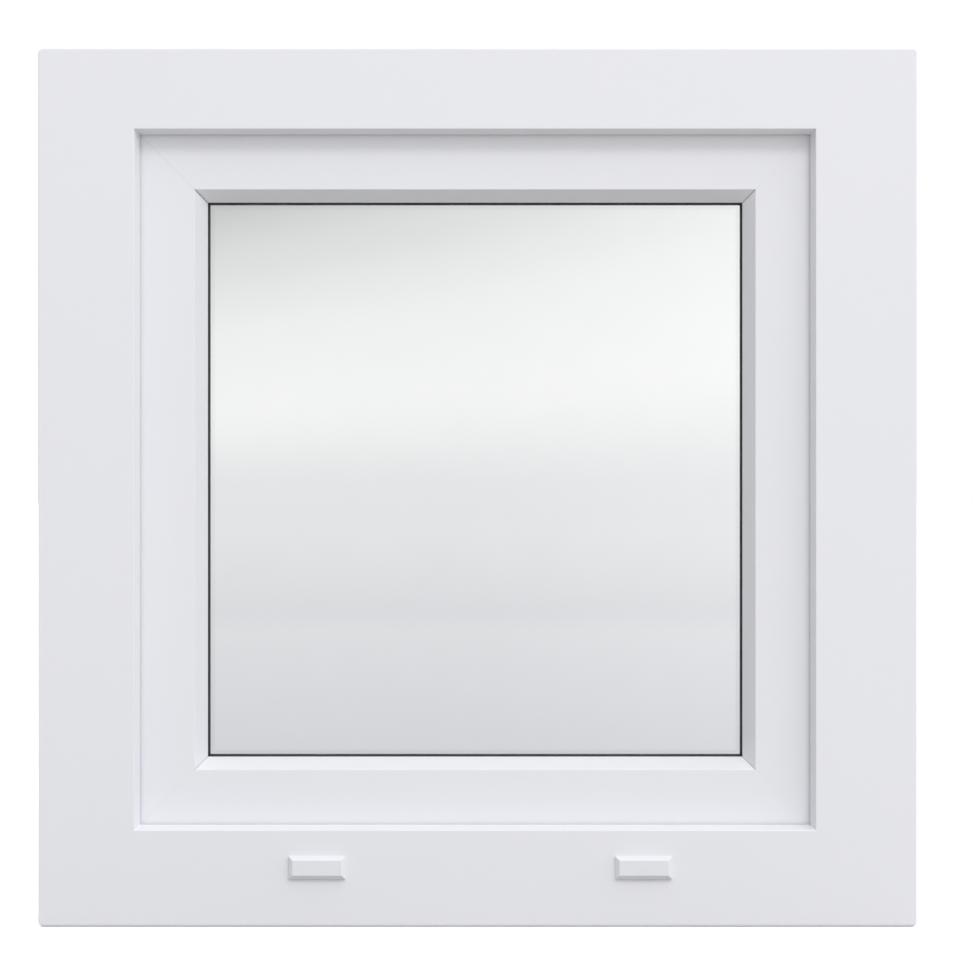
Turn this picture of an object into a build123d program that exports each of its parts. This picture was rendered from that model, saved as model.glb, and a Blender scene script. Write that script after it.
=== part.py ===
from build123d import *
from math import cos, pi, sin
import os

# Small inward-opening window of white hollow plastic profiles with double glazing.
# Millimetres. X runs to the right seen from outside, Y from outside to inside, Z up.
# The origin is on the underside of the frame, at the middle of its width and depth.

# Outer frame: overall size and the faces that show from outside
frame_width = 600.0
frame_height = 600.0
frame_depth = 70.0
left_jamb_face = 65.5
right_jamb_face = 69.1
sill_face = 66.2
head_face = 55.0
corner_radius = 4.0
edge_radius = 0.8
sill_edge_radius = 2.0
rounding_facets = 3

# Walls of the extruded profiles
outer_wall = 2.8
inner_web = 1.4
edge_rounding = 0.8

# Outer lip of the frame, which the closed sash presses against
lip_slope = 2.6
lip_thickness = 14.0
lip_root_thickness = 15.5
lip_gap = 1.5
lip_overlap = 22.0
lip_flat = 9.0

# Rebate of the frame, behind the lip
channel_depth = 2.5
channel_end = 25.0
channel_ramp = 3.0
rib_height = 2.2
rib_thickness = 2.0
rib_depths = (33.0, 47.0)
inner_edge_chamfer = 1.5

# Anchor grooves round the outside of the frame
groove_opening = 14.0
groove_depth = 4.5
groove_lip = 1.6
groove_undercut = 2.0
groove_centres = (19.0, 51.0)

# Seals between sash and frame
seal_gap = 3.5
seal_groove_width = 3.2
seal_groove_depth = 4.3
seal_groove_inset = 2.4
seal_clearance = 0.1
seal_shoulders = (1.0, 1.4)
seal_crown = (0.2, 0.6)

# Sash
sash_air_gap = 12.0
sash_overlap = 20.0
sash_overlap_thickness = 12.0
sash_face = 37.4
sash_inner_radius = 4.0
hardware_groove_width = 16.0
hardware_groove_step = 3.0
hardware_slot_width = 12.0
hardware_slot_depth = 12.0
hardware_groove_axis = 13.0
sash_middle_chamber = 7.0

# Glazing lip of the sash
bevel_run = 8.3
bevel_depth = 10.5
bevel_nose = 1.5
glazing_rebate = 20.0

# Sealed glass unit
pane_thickness = 4.0
pane_gap = 16.0
glass_edge_gap = 5.0
glazing_gasket_thickness = 3.0
gasket_show = 1.6
gasket_stem_width = 3.0
gasket_stem_depth = 3.4
gasket_stem_inset = 5.0
gasket_heel = 1.5
gasket_nose = (0.6, 0.25)
spacer_height = 7.0
spacer_wall = 0.8
sealant_height = 4.6
block_length = 90.0
block_inset = 60.0

# Glazing beads, clipped in from the inside
bead_clearance = 0.3
bead_drop = 2.2
bead_wall = 1.6
bead_upright = 3.0
bead_nose = 3.5
bead_bulge = (0.62, 0.38)
bead_foot_width = 3.0
bead_foot_depth = 4.2
bead_foot_inset = 6.0

# Weld seams of the sash, cleaned to a shallow groove on the flat faces and deeper in the slopes
seam_width = 1.4
seam_depth = 0.06
slope_seam_width = 1.0
slope_seam_depth = 0.6

# Reach of the mitre cuts and of cuts that run out of a surface
mitre_share = 0.9
cut_overrun = 1.0

# Drainage slots and the caps over them
drain_spacing = 223.0
drain_shift = 1.9
drain_slot_length = 28.0
drain_slot_height = 5.0
drain_slot_drop = 3.1
channel_slot_offset = 70.0
channel_slot_depth = 4.0
cap_length = 38.7
cap_height = 15.4
cap_rise = 3.5
cap_rim = 1.8
cap_outlet = 1.2
cap_projection = 4.6
cap_bevel = 2.6
cap_wall = 1.2
cap_leg_length = 6.0
cap_leg_thickness = 2.4
cap_leg_clearance = 0.2

# Handle on the stile away from the hinges
handle_backset = 15.0
rose_width = 30.0
rose_height = 66.0
rose_thickness = 11.0
rose_corner = 9.0
rose_edge = 2.0
neck_diameter = 18.0
neck_collar_height = 3.0
neck_collar_clearance = 0.3
neck_collar_stand = 4.0
lever_projection = 54.0
lever_length = 112.0
lever_bend = 17.0
lever_neck = (16.0, 14.0)
lever_grip = (20.5, 12.0)
lever_tip = (15.0, 8.5)
lever_edge_share = 0.42
lever_bend_facets = 5
lever_grip_facets = 3
lever_widest = 0.45
lever_tip_start = 0.95
lever_tip_rounding = ((0.98, 0.9), (0.995, 0.7), (1.0, 0.45))

# Hinges on the other stile
knuckle_diameter = 15.0
knuckle_gap = 0.5
hinge_axis_offset = 9.4
hinge_pin_diameter = 6.0
hinge_pin_clearance = 0.1
bracket_width = 24.0
bracket_thickness = 2.8
bracket_height = 56.0
bracket_knuckle = 24.0
bracket_web = 10.5
leaf_width = 30.0
leaf_thickness = 2.8
leaf_height = 44.0
pin_cap_height = 3.0
pin_cap_chamfer = 1.2
hinge_end_inset = 12.0

# Depths from the outside face of the frame
sash_front = lip_thickness + lip_gap
overlap_front = frame_depth + seal_gap
sash_back = overlap_front + sash_overlap_thickness
glazing_lip_back = sash_front + bevel_depth + bevel_nose
outer_pane_front = glazing_lip_back + glazing_gasket_thickness
inner_pane_front = outer_pane_front + pane_thickness + pane_gap
glass_back = inner_pane_front + pane_thickness
bead_front = glass_back + glazing_gasket_thickness

# Distances from the sight edge of the frame, positive towards the glass
lip_tip = lip_slope
rebate_base = -lip_overlap
sash_edge = rebate_base + sash_air_gap
overlap_edge = sash_edge - sash_overlap
bevel_start = lip_tip + sash_face
glazing_edge = bevel_start + bevel_run
glazing_base = glazing_edge - glazing_rebate
glass_edge = glazing_base + glass_edge_gap
bead_edge = glazing_edge - bead_drop

# Heights of the drainage slots and of the caps, from the ceiling of the sill's front chamber
channel_floor = rebate_base - channel_depth
drain_slot_level = sill_face + channel_floor - inner_web - drain_slot_drop
cap_level = drain_slot_level + cap_rise

opening_x = (left_jamb_face - right_jamb_face) / 2
middle = frame_height / 2 + (sill_face - head_face) / 2
front = -frame_depth / 2
half_opening_width = (frame_width - left_jamb_face - right_jamb_face) / 2
half_opening_height = (frame_height - sill_face - head_face) / 2
faces = {"sill": sill_face, "head": head_face, "left": left_jamb_face, "right": right_jamb_face}
inward = {"sill": (0, 0, 1), "head": (0, 0, -1), "left": (1, 0, 0), "right": (-1, 0, 0)}
sight_points = {
    "sill": (opening_x, front, sill_face),
    "head": (opening_x, front, frame_height - head_face),
    "left": (opening_x - half_opening_width, front, middle),
    "right": (opening_x + half_opening_width, front, middle),
}
sides = tuple(faces)


def outline(points):
    """Face bounded by straight lines through (distance from sight edge, depth) points."""
    return make_face(Polyline(*points, close=True))


def rounded_corner(corner, inward_x, inward_y, radius):
    """Points of a faceted rounding from the side along x to the side along y of a square corner."""
    turns = [pi / 2 * step / rounding_facets for step in range(rounding_facets + 1)]
    x, y = corner
    return [
        (x + inward_x * radius * (1 - sin(turn)), y + inward_y * radius * (1 - cos(turn)))
        for turn in turns
    ]


def box_section(low, high, shallow, deep):
    """Rectangle between two distances from the sight edge and two depths."""
    centre = ((low + high) / 2, (shallow + deep) / 2)
    return Pos(*centre) * Rectangle(high - low, deep - shallow)


def corner_at(face, distance, depth):
    """The corner of a section nearest a point."""
    target = Vector(distance, depth, 0)
    return min(face.vertices(), key=lambda corner: (Vector(*corner) - target).length)


def section_plane(side):
    """Plane across a member: its x is the distance from the sight edge, its y the depth."""
    x_dir = Vector(*inward[side])
    return Plane(origin=sight_points[side], x_dir=x_dir, z_dir=x_dir.cross(Vector(0, 1, 0)))


def mitre_corner(side, end):
    """Sight-line corner at one end (-1 or 1) of a member, and the way out of it, as (x, z)."""
    if side in ("sill", "head"):
        signs = (end, -1 if side == "sill" else 1)
    else:
        signs = (-1 if side == "left" else 1, end)
    level = sill_face if signs[1] < 0 else frame_height - head_face
    return (opening_x + signs[0] * half_opening_width, level), signs


def mitre_block(side, to_frame_corner=False):
    """Prism that keeps one member's share of the mitred corners."""
    points = []
    reach = mitre_share * min(half_opening_width, half_opening_height)
    for end in (-1, 1):
        (x, z), (out_x, out_z) = mitre_corner(side, end)
        inner = (x - out_x * reach, z - out_z * reach)
        if to_frame_corner:
            jamb = faces["left" if out_x < 0 else "right"]
            level = faces["sill" if out_z < 0 else "head"]
            outer = (x + out_x * 2 * jamb, z + out_z * 2 * level)
        else:
            outer = (x + out_x * reach, z + out_z * reach)
        pair = [outer, (x, z), inner]
        points += pair if end < 0 else pair[::-1]
    return extrude(Plane.XZ * make_face(Polyline(*points, close=True)), amount=frame_depth * 2, both=True)


def member(section, side, to_frame_corner=False):
    """A length of profile along one side, cut to its mitres."""
    bar = extrude(section_plane(side) * section, amount=frame_width, both=True)
    return bar & mitre_block(side, to_frame_corner)


def ring(section):
    """Four mitred lengths of one profile joined into a closed ring."""
    lengths = [member(section, side) for side in sides]
    return lengths[0] + lengths[1:]


def seam_cutter(start, end, width, depth):
    """Bar with a diamond section along a weld, which leaves a V groove in the surface it follows."""
    line = end - start
    plane = Plane(origin=start, x_dir=line.cross(Vector(0, 1, 0)), z_dir=line)
    diamond = Polyline((-width / 2, 0), (0, depth), (width / 2, 0), (0, -depth), close=True)
    return extrude(plane * make_face(diamond), amount=line.length)


def seams(low, high, surfaces, size=(seam_width, seam_depth)):
    """Weld seams at the sash's four corners, from a low to a high distance from the sight edge."""
    cutters = []
    for end in (-1, 1):
        for side in ("sill", "head"):
            (x, z), (out_x, out_z) = mitre_corner(side, end)
            low_end, high_end = (
                Vector(x - out_x * distance, surface, z - out_z * distance)
                for distance, surface in zip((low, high), surfaces)
            )
            cutters.append(seam_cutter(low_end, high_end, *size))
    return cutters


def anchor_groove(face, centre):
    """Undercut groove in the outer edge of the frame for clip-in wall anchors."""
    edge = -face
    half = groove_opening / 2
    mouth = box_section(edge - cut_overrun, edge + groove_depth, centre - half, centre + half)
    wide = half + groove_undercut
    return mouth + box_section(edge + groove_lip, edge + groove_depth, centre - wide, centre + wide)


def seal_groove(near, depth, sign):
    """Narrow groove for a seal's stem; sign is the way it opens along the depth."""
    inner = depth - sign * seal_groove_depth
    return box_section(near - seal_groove_width, near, min(inner, depth), max(inner, depth))


def frame_section(face, outer_radius):
    """Hollow frame profile with outer lip, drained rebate, hardware ribs and anchor grooves."""
    ribs = []
    for rib in rib_depths:
        ribs += [
            (rebate_base, rib),
            (rebate_base + rib_height, rib),
            (rebate_base + rib_height, rib + rib_thickness),
            (rebate_base, rib + rib_thickness),
        ]
    shape = outline(
        [
            *rounded_corner((-face, 0), 1, 1, outer_radius)[::-1],
            (0, 0),
            (lip_tip, lip_thickness - edge_rounding),
            (lip_tip, lip_thickness),
            (lip_tip - lip_flat, lip_thickness),
            (rebate_base, lip_root_thickness),
            (channel_floor, lip_root_thickness),
            (channel_floor, channel_end),
            (rebate_base, channel_end + channel_ramp),
            *ribs,
            (rebate_base, frame_depth - inner_edge_chamfer),
            (rebate_base - inner_edge_chamfer, frame_depth),
            *rounded_corner((-face, frame_depth), 1, -1, outer_radius),
        ]
    )
    shape = fillet(corner_at(shape, 0, 0), edge_rounding)
    for centre in groove_centres:
        shape -= anchor_groove(face, centre)
    shape -= seal_groove(lip_tip - seal_groove_inset, lip_thickness, 1)
    outside = -face + groove_depth + outer_wall
    steel = (channel_end - inner_web, rib_depths[1] + rib_thickness)
    deep = frame_depth - outer_wall
    third = (steel[1] + inner_web, (steel[1] + inner_web + deep - inner_web) / 2)
    chambers = [
        (outside, channel_floor - inner_web, outer_wall, steel[0] - 2 * inner_web),
        (channel_floor + outer_wall, lip_tip - lip_flat, outer_wall, lip_thickness - outer_wall),
        (outside, rebate_base - outer_wall, steel[0] + 2 * inner_web, steel[1]),
        (outside, rebate_base - outer_wall, *third),
        (outside, rebate_base - outer_wall, third[1] + inner_web, deep),
    ]
    for chamber in chambers:
        shape -= box_section(*chamber)
    return shape


def sash_section():
    """Hollow sash profile with inner overlap, hardware groove, glazing lip and bead groove."""
    shape = outline(
        [
            (sash_edge, sash_front),
            (bevel_start, sash_front),
            (glazing_edge, sash_front + bevel_depth),
            (glazing_edge, glazing_lip_back),
            (glazing_base, glazing_lip_back),
            (glazing_base, sash_back),
            (overlap_edge, sash_back),
            (overlap_edge, overlap_front),
            (sash_edge, overlap_front),
        ]
    )
    shape = fillet(corner_at(shape, bevel_start, sash_front), edge_rounding)
    shape = fillet(corner_at(shape, sash_edge, sash_front), edge_rounding)
    shape = fillet(corner_at(shape, glazing_base, sash_back), edge_rounding)
    shape = fillet(corner_at(shape, overlap_edge, sash_back), sash_inner_radius)
    shape = fillet(corner_at(shape, overlap_edge, overlap_front), edge_rounding)
    axis = overlap_front - hardware_groove_axis
    half_groove = hardware_groove_width / 2
    half_slot = hardware_slot_width / 2
    step_floor = sash_edge + hardware_groove_step
    groove_floor = sash_edge + hardware_slot_depth
    outside = sash_edge - cut_overrun
    shape -= box_section(outside, step_floor, axis - half_groove, axis + half_groove)
    shape -= box_section(outside, groove_floor, axis - half_slot, axis + half_slot)
    shape -= seal_groove(overlap_edge + seal_groove_inset + seal_groove_width, overlap_front, -1)
    stem = glazing_edge - gasket_stem_inset
    stem_floor = glazing_lip_back - gasket_stem_depth - seal_clearance
    shape -= box_section(stem - gasket_stem_width, stem, stem_floor, glazing_lip_back)
    foot = sash_back - bead_foot_inset
    foot_floor = glazing_base - bead_foot_depth - bead_clearance
    foot_far = foot - bead_foot_width - bead_clearance
    shape -= box_section(foot_floor, glazing_base + cut_overrun, foot_far, foot + bead_clearance)
    skin = glazing_lip_back - outer_wall
    slot_front = axis - half_groove - inner_web
    slot_back = overlap_front - inner_web
    middle_start = skin + inner_web
    middle_end = middle_start + sash_middle_chamber
    chambers = [
        (sash_edge + outer_wall, stem - gasket_stem_width - outer_wall, sash_front + outer_wall, skin),
        (sash_edge + outer_wall, glazing_base - outer_wall, middle_start, middle_end),
        (sash_edge + outer_wall, glazing_base - outer_wall, middle_end + inner_web, slot_front),
        (groove_floor + outer_wall, glazing_base - outer_wall, slot_front + inner_web, slot_back),
        (sash_edge, foot_floor - inner_web, overlap_front + outer_wall, sash_back - outer_wall),
    ]
    for chamber in chambers:
        shape -= box_section(*chamber)
    return shape


def bead_section():
    """Hollow glazing bead with a curved room side and a foot that clips into the sash."""
    base = glazing_base + bead_clearance
    back = sash_back - bead_clearance
    shoulder = base + bead_upright
    nose = bead_front + bead_nose
    share_in, share_down = bead_bulge
    bulge = (shoulder + (bead_edge - shoulder) * share_in, back - (back - nose) * share_down)
    room_side = ThreePointArc((shoulder, back), bulge, (bead_edge, nose))
    rest = Polyline(
        (bead_edge, nose),
        (bead_edge, bead_front),
        (base, bead_front),
        (base, back),
        (shoulder, back),
    )
    shape = make_face([room_side, rest])
    shape = fillet(corner_at(shape, bead_edge, nose), edge_rounding)
    hollow = offset(shape, -bead_wall, kind=Kind.INTERSECTION)
    foot = sash_back - bead_foot_inset
    shape = shape - hollow
    return shape + box_section(base - bead_foot_depth, base + bead_wall / 2, foot - bead_foot_width, foot)


def frame_seal_section():
    """Seal on the frame lip, pressed by the front of the sash."""
    near = lip_tip - seal_groove_inset - seal_clearance
    far = near - seal_groove_width + 2 * seal_clearance
    stem = box_section(far, near, lip_thickness - seal_groove_depth + seal_clearance, lip_thickness)
    bulb = outline(
        [
            (far - seal_shoulders[0], lip_thickness),
            (near + seal_shoulders[1], lip_thickness),
            (near + seal_crown[1], sash_front - seal_clearance),
            (far - seal_crown[0], sash_front - seal_clearance),
        ]
    )
    return stem + bulb


def sash_seal_section():
    """Seal on the sash overlap, pressed against the inside face of the frame."""
    near = overlap_edge + seal_groove_inset + seal_clearance
    far = near + seal_groove_width - 2 * seal_clearance
    stem = box_section(near, far, overlap_front, overlap_front + seal_groove_depth - seal_clearance)
    bulb = outline(
        [
            (near - seal_shoulders[1], overlap_front),
            (far + seal_shoulders[0], overlap_front),
            (far + seal_crown[0], frame_depth + seal_clearance),
            (near - seal_crown[1], frame_depth + seal_clearance),
        ]
    )
    return stem + bulb


def glazing_gasket_section():
    """Gasket between the glazing lip and the outer pane, with its nose in sight."""
    stem = glazing_edge - gasket_stem_inset
    heel = stem - gasket_stem_width - gasket_heel
    nose_out, nose_back = gasket_nose
    shape = outline(
        [
            (heel, glazing_lip_back),
            (glazing_edge, glazing_lip_back),
            (glazing_edge + gasket_show * nose_out, glazing_lip_back + glazing_gasket_thickness * nose_back),
            (glazing_edge + gasket_show, outer_pane_front),
            (heel, outer_pane_front),
        ]
    )
    stem_low = stem - gasket_stem_width + seal_clearance
    stem_top = glazing_lip_back - gasket_stem_depth
    return shape + box_section(stem_low, stem - seal_clearance, stem_top, glazing_lip_back)


def bead_gasket_section():
    """Gasket between the inner pane and the bead."""
    nose_out, nose_back = gasket_nose
    return outline(
        [
            (bead_edge - 2 * gasket_stem_inset, glass_back),
            (bead_edge + gasket_show, glass_back),
            (bead_edge + gasket_show * nose_out, bead_front - glazing_gasket_thickness * nose_back),
            (bead_edge, bead_front),
            (bead_edge - 2 * gasket_stem_inset, bead_front),
        ]
    )


def spacer_section():
    """Hollow bar that holds the two panes apart."""
    low = glass_edge + sealant_height
    back = outer_pane_front + pane_thickness
    bar = box_section(low, low + spacer_height, back, back + pane_gap)
    wall = spacer_wall
    return bar - box_section(low + wall, low + spacer_height - wall, back + wall, back + pane_gap - wall)


def sealant_section():
    """Edge seal of the glass unit, outside the spacer."""
    back = outer_pane_front + pane_thickness
    return box_section(glass_edge, glass_edge + sealant_height, back, back + pane_gap)


def frame_members():
    """The four welded members of the outer frame."""
    half_width = frame_width / 2
    right_side = rounded_corner((half_width, 0), -1, 1, corner_radius)
    right_side += rounded_corner((half_width, frame_height), -1, -1, corner_radius)[::-1]
    edge_points = right_side + [(-x, z) for x, z in right_side[::-1]]
    outer_face = make_face(Polyline(*edge_points, close=True))
    silhouette = extrude(Plane.XZ * outer_face, amount=frame_depth, both=True)
    members = {}
    for side in sides:
        outer_radius = sill_edge_radius if side == "sill" else edge_radius
        members[side] = member(frame_section(faces[side], outer_radius), side, True) & silhouette
    return members


def drain_positions():
    """Where the drainage slots and their caps sit along the sill."""
    return (drain_shift - drain_spacing / 2, drain_shift + drain_spacing / 2)


def drained_sill(sill):
    """Cuts the slots that let water out of the rebate and out through the front."""
    for x in drain_positions():
        slot = Pos(x, 0, drain_slot_level) * (Plane.XZ * SlotOverall(drain_slot_length, drain_slot_height))
        sill -= Pos(0, front, 0) * extrude(slot, amount=outer_wall + inner_web, both=True)
        inset = (lip_root_thickness + channel_end) / 2 - inner_web
        shift = channel_slot_offset if x < 0 else -channel_slot_offset
        spot = Pos(x + shift, front + inset, sill_face + channel_floor)
        channel_slot = SlotOverall(drain_slot_length, channel_slot_depth)
        sill -= spot * extrude(channel_slot, amount=2 * inner_web, both=True)
    return sill


def sash_members():
    """The four welded members of the sash."""
    section = sash_section()
    face = front + sash_front
    cutters = seams(lip_tip, bevel_start, (face, face))
    slope_size = (slope_seam_width, slope_seam_depth)
    cutters += seams(bevel_start, glazing_edge, (face, face + bevel_depth), slope_size)
    cutters += seams(overlap_edge, glazing_base, (front + sash_back, front + sash_back))
    return {side: member(section, side) - cutters for side in sides}


def pane(front_depth):
    """One sheet of glass with its edges inside the glazing rebate."""
    width = 2 * (half_opening_width - glass_edge)
    height = 2 * (half_opening_height - glass_edge)
    centre = (opening_x, front + front_depth + pane_thickness / 2, middle)
    return Pos(*centre) * Box(width, pane_thickness, height)


def glazing_blocks():
    """Packers between the edge of the glass unit and the sash, two to a side."""
    section = box_section(glazing_base, glass_edge, outer_pane_front, glass_back)
    blocks = []
    for side in sides:
        upright = side in ("left", "right")
        half_side = half_opening_height if upright else half_opening_width
        shift = half_side - glass_edge - block_inset - block_length / 2
        for way in (-1, 1):
            block = extrude(section_plane(side) * section, amount=block_length / 2, both=True)
            blocks.append(Pos(0, 0, way * shift) * block if upright else Pos(way * shift, 0, 0) * block)
    return Compound(children=blocks)


def drain_cap(x):
    """Hollow bevelled cap with an outlet along its underside and two legs in the drainage slot."""
    face_plane = Plane(origin=(x, front, cap_level), x_dir=(1, 0, 0), z_dir=(0, -1, 0))
    outer = Rectangle(cap_length, cap_height)
    flat = Rectangle(cap_length - 2 * cap_bevel, cap_height - 2 * cap_bevel)
    rim = extrude(face_plane * outer, amount=cap_rim)
    crown = loft([face_plane.offset(cap_rim) * outer, face_plane.offset(cap_projection) * flat])
    cap = rim + crown
    inner_length = cap_length - 2 * cap_bevel
    inner_height = cap_height - 2 * cap_bevel
    hollow = Box(inner_length, cap_projection - cap_wall, inner_height)
    cap -= Pos(x, front - (cap_projection - cap_wall) / 2, cap_level) * hollow
    outlet = Box(inner_length, cap_outlet, cap_bevel + cut_overrun)
    outlet_level = cap_level - (cap_height - cap_bevel + cut_overrun) / 2
    cap -= Pos(x, front - cap_outlet / 2, outlet_level) * outlet
    leg_height = drain_slot_height - 2 * cap_leg_clearance
    leg_reach = cap_leg_length + cap_projection - cap_wall
    leg_offset = drain_slot_length / 2 - drain_slot_height / 2 - cap_leg_thickness / 2
    leg_y = front - cap_projection + cap_wall + leg_reach / 2
    leg = Pos(x, leg_y, drain_slot_level) * Box(cap_leg_thickness, leg_reach, leg_height)
    return cap + [Pos(way * leg_offset, 0, 0) * leg for way in (-1, 1)]


def handle_axis():
    """Where the handle turns: its place across the stile and its height."""
    return opening_x - half_opening_width + sash_edge + handle_backset, middle


def handle_rose():
    """Rounded base plate of the handle, bored for the collar of the lever."""
    x, z = handle_axis()
    seat = Plane(origin=(x, front + sash_back, z), x_dir=(1, 0, 0), z_dir=(0, 1, 0))
    rose = extrude(seat * RectangleRounded(rose_width, rose_height, rose_corner), amount=rose_thickness)
    rose = chamfer(rose.faces().sort_by(Axis.Y)[-1].edges(), rose_edge)
    bore_plane = seat.offset(rose_thickness - neck_collar_height)
    bore = Circle(neck_diameter / 2 + neck_collar_clearance)
    return rose - extrude(bore_plane * bore, amount=neck_collar_height + cut_overrun)


def eased(share):
    """Smooth step from 0 to 1 for a share of a length."""
    share = min(max(share, 0.0), 1.0)
    return share * share * (3 - 2 * share)


def lever_section(path, share, shrink=1.0):
    """Cross-section of the lever at a share of its path, between its neck, grip and tip sizes."""
    swell = eased(share / lever_widest)
    taper = eased((share - lever_widest) / (1 - lever_widest))
    width, thickness = (
        shrink * (neck + (grip - neck) * swell + (tip - grip) * taper)
        for neck, grip, tip in zip(lever_neck, lever_grip, lever_tip)
    )
    plane = Plane(origin=path @ share, x_dir=(1, 0, 0), z_dir=path % share)
    corner = (width / 2, thickness / 2)
    right_top = rounded_corner(corner, -1, -1, lever_edge_share * thickness)
    top = right_top[::-1] + [(-x, y) for x, y in right_top]
    return plane * make_face(Polyline(*top, *[(x, -y) for x, y in top[::-1]], close=True))


def handle_lever():
    """Lever lofted through sections along one bend, from a round collar to a rounded tip."""
    x, z = handle_axis()
    start = front + sash_back + rose_thickness - neck_collar_height
    level = front + sash_back + lever_projection - lever_grip[1] / 2
    path = FilletPolyline(
        (x, start + neck_collar_height, z),
        (x, level, z),
        (x, level, z - lever_length),
        radius=lever_bend,
    )
    neck_share = (level - lever_bend - start - neck_collar_height) / path.length
    bend_share = (lever_bend * pi / 2) / path.length
    grip_share = lever_tip_start - neck_share - bend_share
    bend = [step / lever_bend_facets for step in range(lever_bend_facets + 1)]
    grip = [step / lever_grip_facets for step in range(1, lever_grip_facets + 1)]
    shares = [0.0] + [neck_share + bend_share * turn for turn in bend]
    shares += [neck_share + bend_share + grip_share * way for way in grip]
    sections = [lever_section(path, share) for share in shares]
    for share, shrink in lever_tip_rounding:
        sections.append(lever_section(path, share, shrink))
    collar_plane = Plane(origin=(x, start, z), x_dir=(1, 0, 0), z_dir=(0, 1, 0))
    collar = extrude(collar_plane * Circle(neck_diameter / 2), amount=neck_collar_height + neck_collar_stand)
    return collar + loft(sections, ruled=True)


def hinge_axis_point():
    """Plan position of the hinge axis, beside the sash and flush with the face of the leaf."""
    x = opening_x + half_opening_width - overlap_edge + hinge_axis_offset
    return x, front + sash_back + leaf_thickness - knuckle_diameter / 2


def pin_bore(low, high):
    """Space for the hinge pin between two heights."""
    x, y = hinge_axis_point()
    bore = Plane(origin=(x, y, low)) * Circle(hinge_pin_diameter / 2 + hinge_pin_clearance)
    return extrude(bore, amount=high - low)


def knuckle(low, high):
    """Hinge barrel between two heights, before it is bored."""
    x, y = hinge_axis_point()
    return extrude(Plane(origin=(x, y, low)) * Circle(knuckle_diameter / 2), amount=high - low)


def hinge_levels(upper):
    """Heights of the bracket barrel and of the leaf barrel, from the end of the sash inwards."""
    if upper:
        end = frame_height - head_face - overlap_edge - hinge_end_inset
        way = -1
    else:
        end = sill_face + overlap_edge + hinge_end_inset
        way = 1
    bracket = (end, end + way * bracket_knuckle)
    leaf_start = bracket[1] + way * knuckle_gap
    return bracket, (leaf_start, leaf_start + way * leaf_height), way


def hinge_bracket(upper):
    """Bracket screwed to the inside face of the frame, with a short barrel at its end."""
    x, y = hinge_axis_point()
    barrel_levels, _, way = hinge_levels(upper)
    low, high = sorted(barrel_levels)
    seat = frame_depth / 2
    plate_low = low if way > 0 else high - bracket_height
    from_corner = (Align.MIN, Align.MIN, Align.MIN)
    plate = Box(bracket_width, bracket_thickness, bracket_height, align=from_corner)
    plate = fillet(plate.edges().filter_by(Axis.Y), bracket_thickness)
    plate = Pos(x - knuckle_diameter / 2, seat, plate_low) * plate
    web = Box(bracket_web, y - seat, high - low, align=(Align.CENTER, Align.MIN, Align.MIN))
    return plate + Pos(x, seat, low) * web + knuckle(low, high) - pin_bore(low, high)


def hinge_leaf(upper):
    """Leaf on the inside face of the sash with its barrel in line with the bracket's."""
    x, _ = hinge_axis_point()
    _, barrel_levels, _ = hinge_levels(upper)
    low, high = sorted(barrel_levels)
    reach = leaf_width + hinge_axis_offset
    leaf = Box(reach, leaf_thickness, high - low, align=(Align.MAX, Align.MIN, Align.MIN))
    leaf = Pos(x, front + sash_back, low) * leaf
    free_edges = leaf.edges().filter_by(Axis.Y).sort_by(Axis.X)[:2]
    leaf = fillet(free_edges, leaf_thickness)
    return leaf + knuckle(low, high) - pin_bore(low, high)


def hinge_pin(upper):
    """Pin through both barrels of a hinge, with a chamfered cap at each end."""
    x, y = hinge_axis_point()
    bracket_levels, leaf_levels, _ = hinge_levels(upper)
    low = min(bracket_levels + leaf_levels)
    high = max(bracket_levels + leaf_levels)
    upright = (Align.CENTER, Align.CENTER, Align.MIN)
    shaft = Cylinder(hinge_pin_diameter / 2, high - low, align=upright)
    cap = Cylinder(knuckle_diameter / 2, pin_cap_height, align=upright)
    cap = chamfer(cap.edges().group_by(Axis.Z)[-1], pin_cap_chamfer)
    foot = mirror(cap, about=Plane.XY)
    return Pos(x, y, low) * (shaft + Pos(0, 0, high - low) * cap + foot)


def build():
    """Every piece of the window by its name."""
    frame = frame_members()
    sash = sash_members()
    bead = bead_section()
    left_x, right_x = drain_positions()
    return {
        "frame_sill": drained_sill(frame["sill"]),
        "frame_head": frame["head"],
        "frame_left_jamb": frame["left"],
        "frame_right_jamb": frame["right"],
        "sash_bottom_rail": sash["sill"],
        "sash_top_rail": sash["head"],
        "sash_left_stile": sash["left"],
        "sash_right_stile": sash["right"],
        "bead_bottom": member(bead, "sill"),
        "bead_top": member(bead, "head"),
        "bead_left": member(bead, "left"),
        "bead_right": member(bead, "right"),
        "frame_seal": ring(frame_seal_section()),
        "sash_seal": ring(sash_seal_section()),
        "glazing_gasket": ring(glazing_gasket_section()),
        "bead_gasket": ring(bead_gasket_section()),
        "outer_pane": pane(outer_pane_front),
        "inner_pane": pane(inner_pane_front),
        "spacer_bar": ring(spacer_section()),
        "edge_sealant": ring(sealant_section()),
        "glazing_blocks": glazing_blocks(),
        "drain_cap_left": drain_cap(left_x),
        "drain_cap_right": drain_cap(right_x),
        "handle_rose": handle_rose(),
        "handle_lever": handle_lever(),
        "lower_hinge_bracket": hinge_bracket(False),
        "lower_hinge_leaf": hinge_leaf(False),
        "lower_hinge_pin": hinge_pin(False),
        "upper_hinge_bracket": hinge_bracket(True),
        "upper_hinge_leaf": hinge_leaf(True),
        "upper_hinge_pin": hinge_pin(True),
    }


os.makedirs("parts", exist_ok=True)
for name, shape in build().items():
    export_step(shape, f"parts/{name}.step")
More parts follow.
